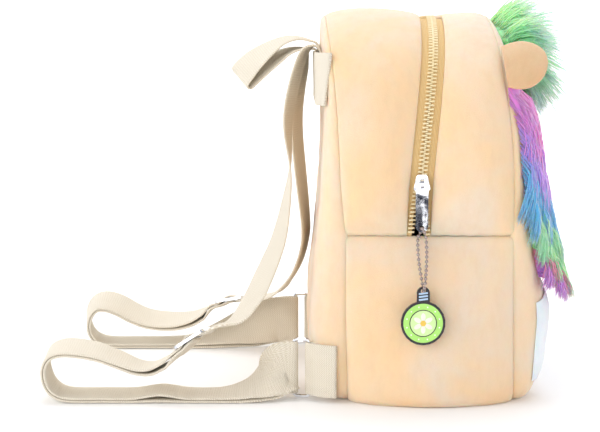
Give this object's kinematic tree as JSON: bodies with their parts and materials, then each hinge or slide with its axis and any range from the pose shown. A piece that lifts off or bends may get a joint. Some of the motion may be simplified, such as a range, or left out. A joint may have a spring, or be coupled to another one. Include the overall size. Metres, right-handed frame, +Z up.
{
  "type": "kids animal backpack",
  "caption": "Small plush backpack with round ears, a long coloured mane, a zipper over the top with a charm, and two webbing shoulder straps lying behind it.",
  "frame": {"origin": "centre of the flat bottom, on the floor", "axes": "+X to the front with the mane, +Y to the far side of the picture, +Z up"},
  "size_m": [0.3676, 0.2672, 0.2675],
  "materials": {
    "plush": "short peach plush",
    "white_plush": "short white plush",
    "ear_plush": "short tan plush",
    "green_pile": "long green pile",
    "mixed_pile": "long pile in bands of pink, purple, blue and mint",
    "zip_cloth": "woven golden zipper tape",
    "zip_tooth": "moulded pale gold teeth",
    "chrome": "polished plated metal",
    "webbing": "cream herringbone webbing",
    "enamel": "glossy green enamel with a dark rim",
    "eye_plastic": "polished black"
  },
  "bodies": {
    "bag": {"back_panel": "plush", "front_panel": "plush", "gusset_rear": "plush", "gusset_front": "plush", "gusset_lower": "plush", "zip_tape_rear": "zip_cloth", "zip_tape_front": "zip_cloth", "zip_teeth_rear": "zip_tooth", "zip_teeth_front": "zip_tooth", "zip_slider": "chrome", "back_band": "webbing", "haul_loop": "webbing", "tab_near": "webbing", "tab_far": "webbing", "ring_near": "chrome", "ring_far": "chrome", "triglide_near": "chrome", "triglide_far": "chrome", "strap_near": "webbing", "strap_far": "webbing", "ear_near": "ear_plush", "ear_far": "ear_plush", "mane_top": "green_pile", "mane_near": "mixed_pile", "mane_far": "mixed_pile", "muzzle": "white_plush", "eye_near": "eye_plastic", "eye_far": "eye_plastic"},
    "zip_drop": {"zip_pull": "chrome", "ball_chain": "chrome", "charm": "enamel"}
  },
  "joints": [
    {"name": "zip_pull_hinge", "type": "hinge", "parent": "bag", "child": "zip_drop", "pos_m": [-0.0055, -0.116, 0.1495], "axis": [-1, 0, 0], "range_deg": [0, 90]}
  ]
}
